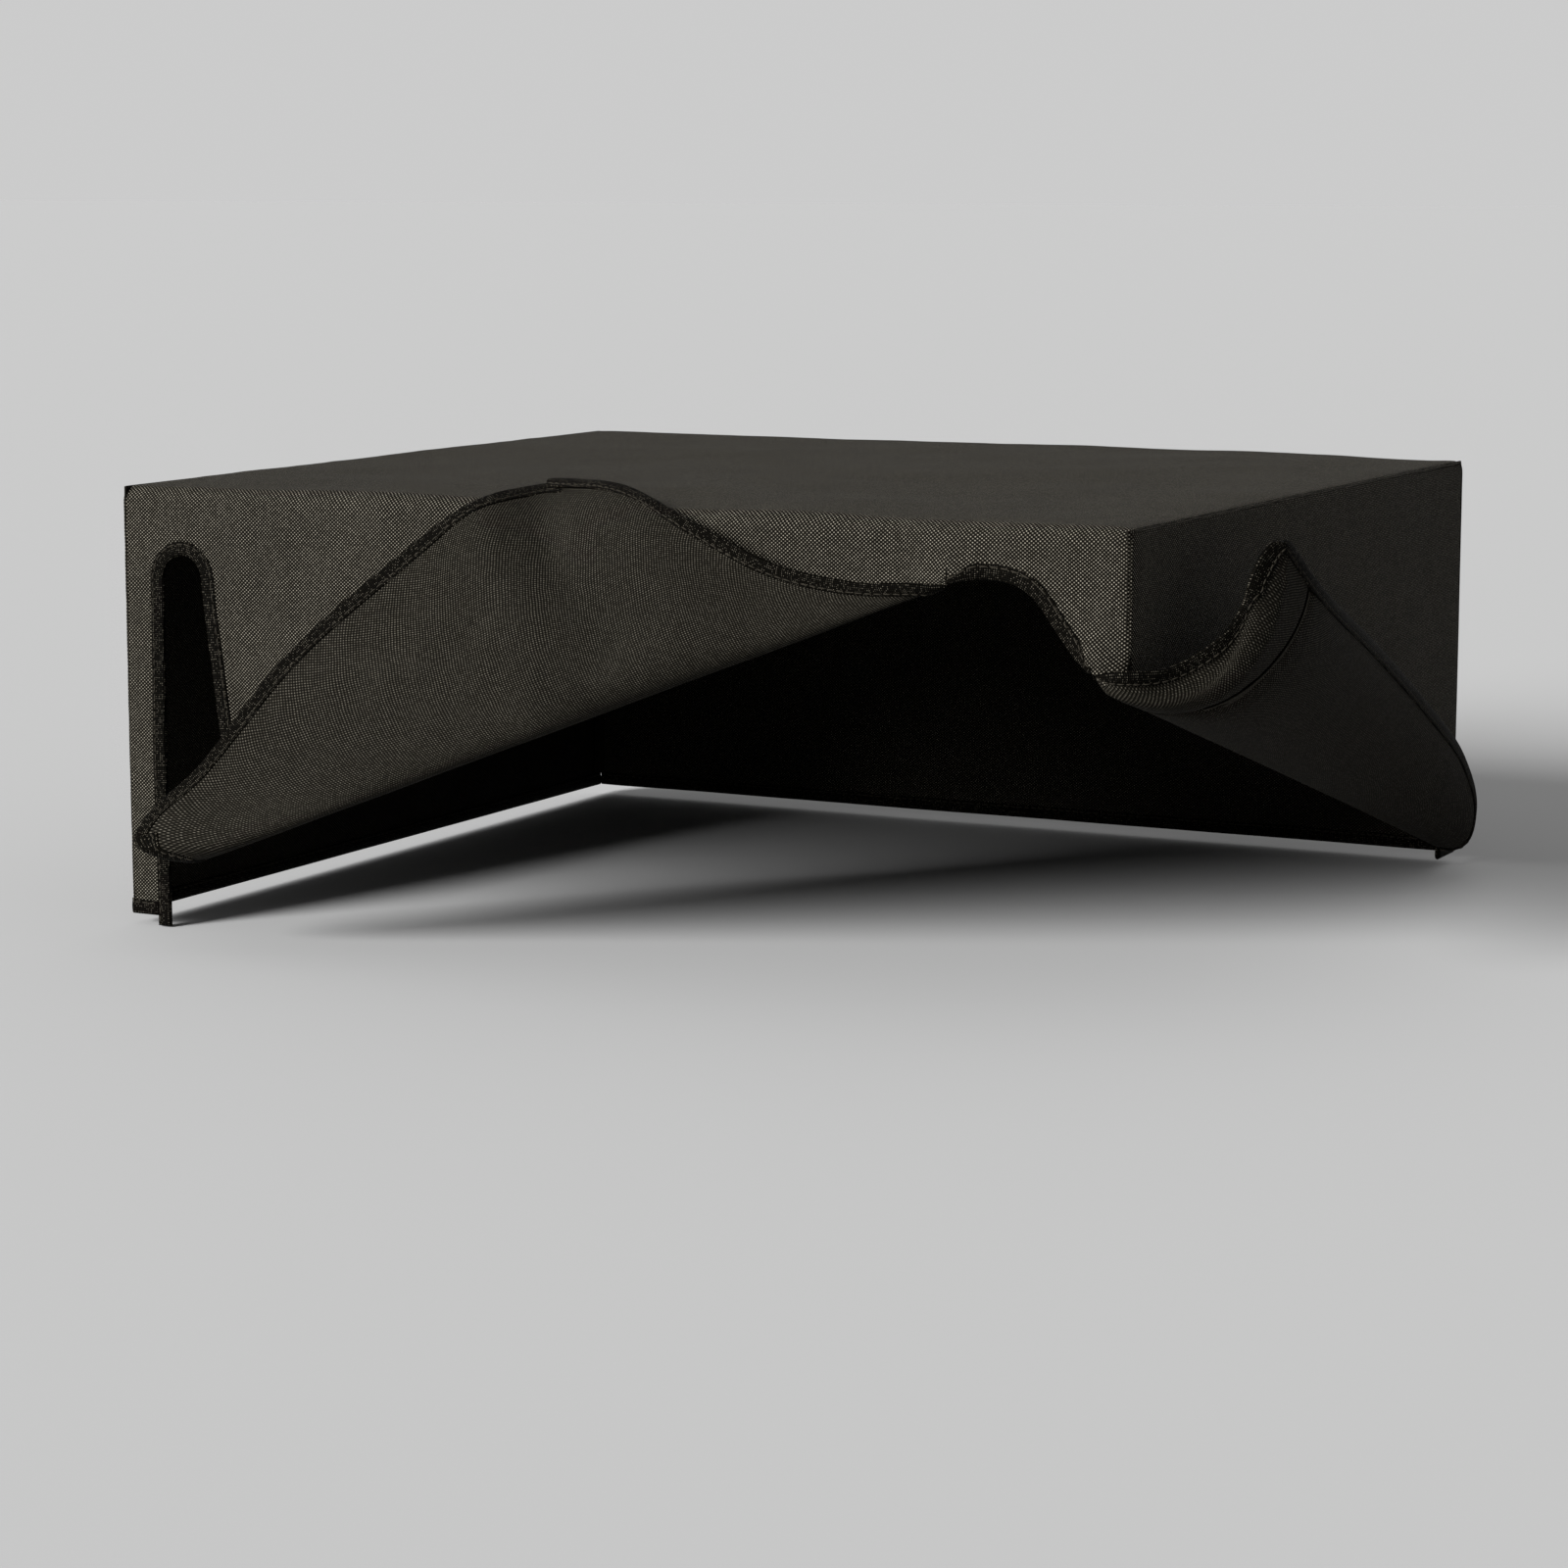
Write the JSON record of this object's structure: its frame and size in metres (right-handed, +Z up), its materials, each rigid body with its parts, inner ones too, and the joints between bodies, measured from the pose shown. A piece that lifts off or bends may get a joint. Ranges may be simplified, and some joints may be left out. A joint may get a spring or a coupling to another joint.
{
  "type": "desktop printer dust cover",
  "caption": "Soft woven box cover that drops over a desktop printer, with bound edges, two slots in its front and two lower corners turned up.",
  "frame": {"origin": "middle of the underside of the top, where a printer's lid bears", "axes": "+X to the right seen from the front, +Y to the back, +Z up; the front with the two slots faces -Y"},
  "size_m": [0.4402, 0.4014, 0.1717],
  "materials": {
    "cloth": "matte woven cloth, dark olive grey, faint sheen",
    "binding": "matte woven tape, near black brown"
  },
  "bodies": {
    "cover": {"top_panel": "cloth", "front_header": "cloth", "left_strip": "cloth", "front_flap": "cloth", "back_panel": "cloth", "left_side_panel": "cloth", "right_side_panel": "cloth", "top_left_seam_margin": "cloth", "top_right_seam_margin": "cloth", "back_left_seam_margin": "cloth", "back_right_seam_margin": "cloth", "front_left_seam_margin": "cloth", "front_right_seam_margin": "cloth", "left_strip_slot_tape": "binding", "left_strip_hem_tape": "binding", "left_slot_arch_tape": "binding", "right_slot_arch_tape": "binding", "front_flap_slot_tape": "binding", "front_flap_hem_tape": "binding", "left_side_hem_tape": "binding", "back_hem_tape": "binding", "right_side_hem_tape": "binding"},
    "flap_corner": {"flap_corner_turned": "cloth", "flap_corner_hem_tape": "binding", "flap_corner_slot_tape": "binding"},
    "side_corner": {"side_corner_turned": "cloth", "side_corner_strip_turned": "cloth", "side_corner_seam_margin": "cloth", "side_corner_hem_tape": "binding", "side_corner_slot_tape": "binding"}
  },
  "joints": [
    {"name": "flap_corner_turn", "type": "hinge", "parent": "cover", "child": "flap_corner", "pos_m": [-0.003, -0.198, -0.07545], "axis": [0.9259, 0.1058, 0.3627], "range_deg": [0, 150]},
    {"name": "side_corner_turn", "type": "hinge", "parent": "cover", "child": "side_corner", "pos_m": [0.2035, -0.0075, -0.10765], "axis": [0.003, 0.959, -0.2834], "range_deg": [0, 150]}
  ]
}
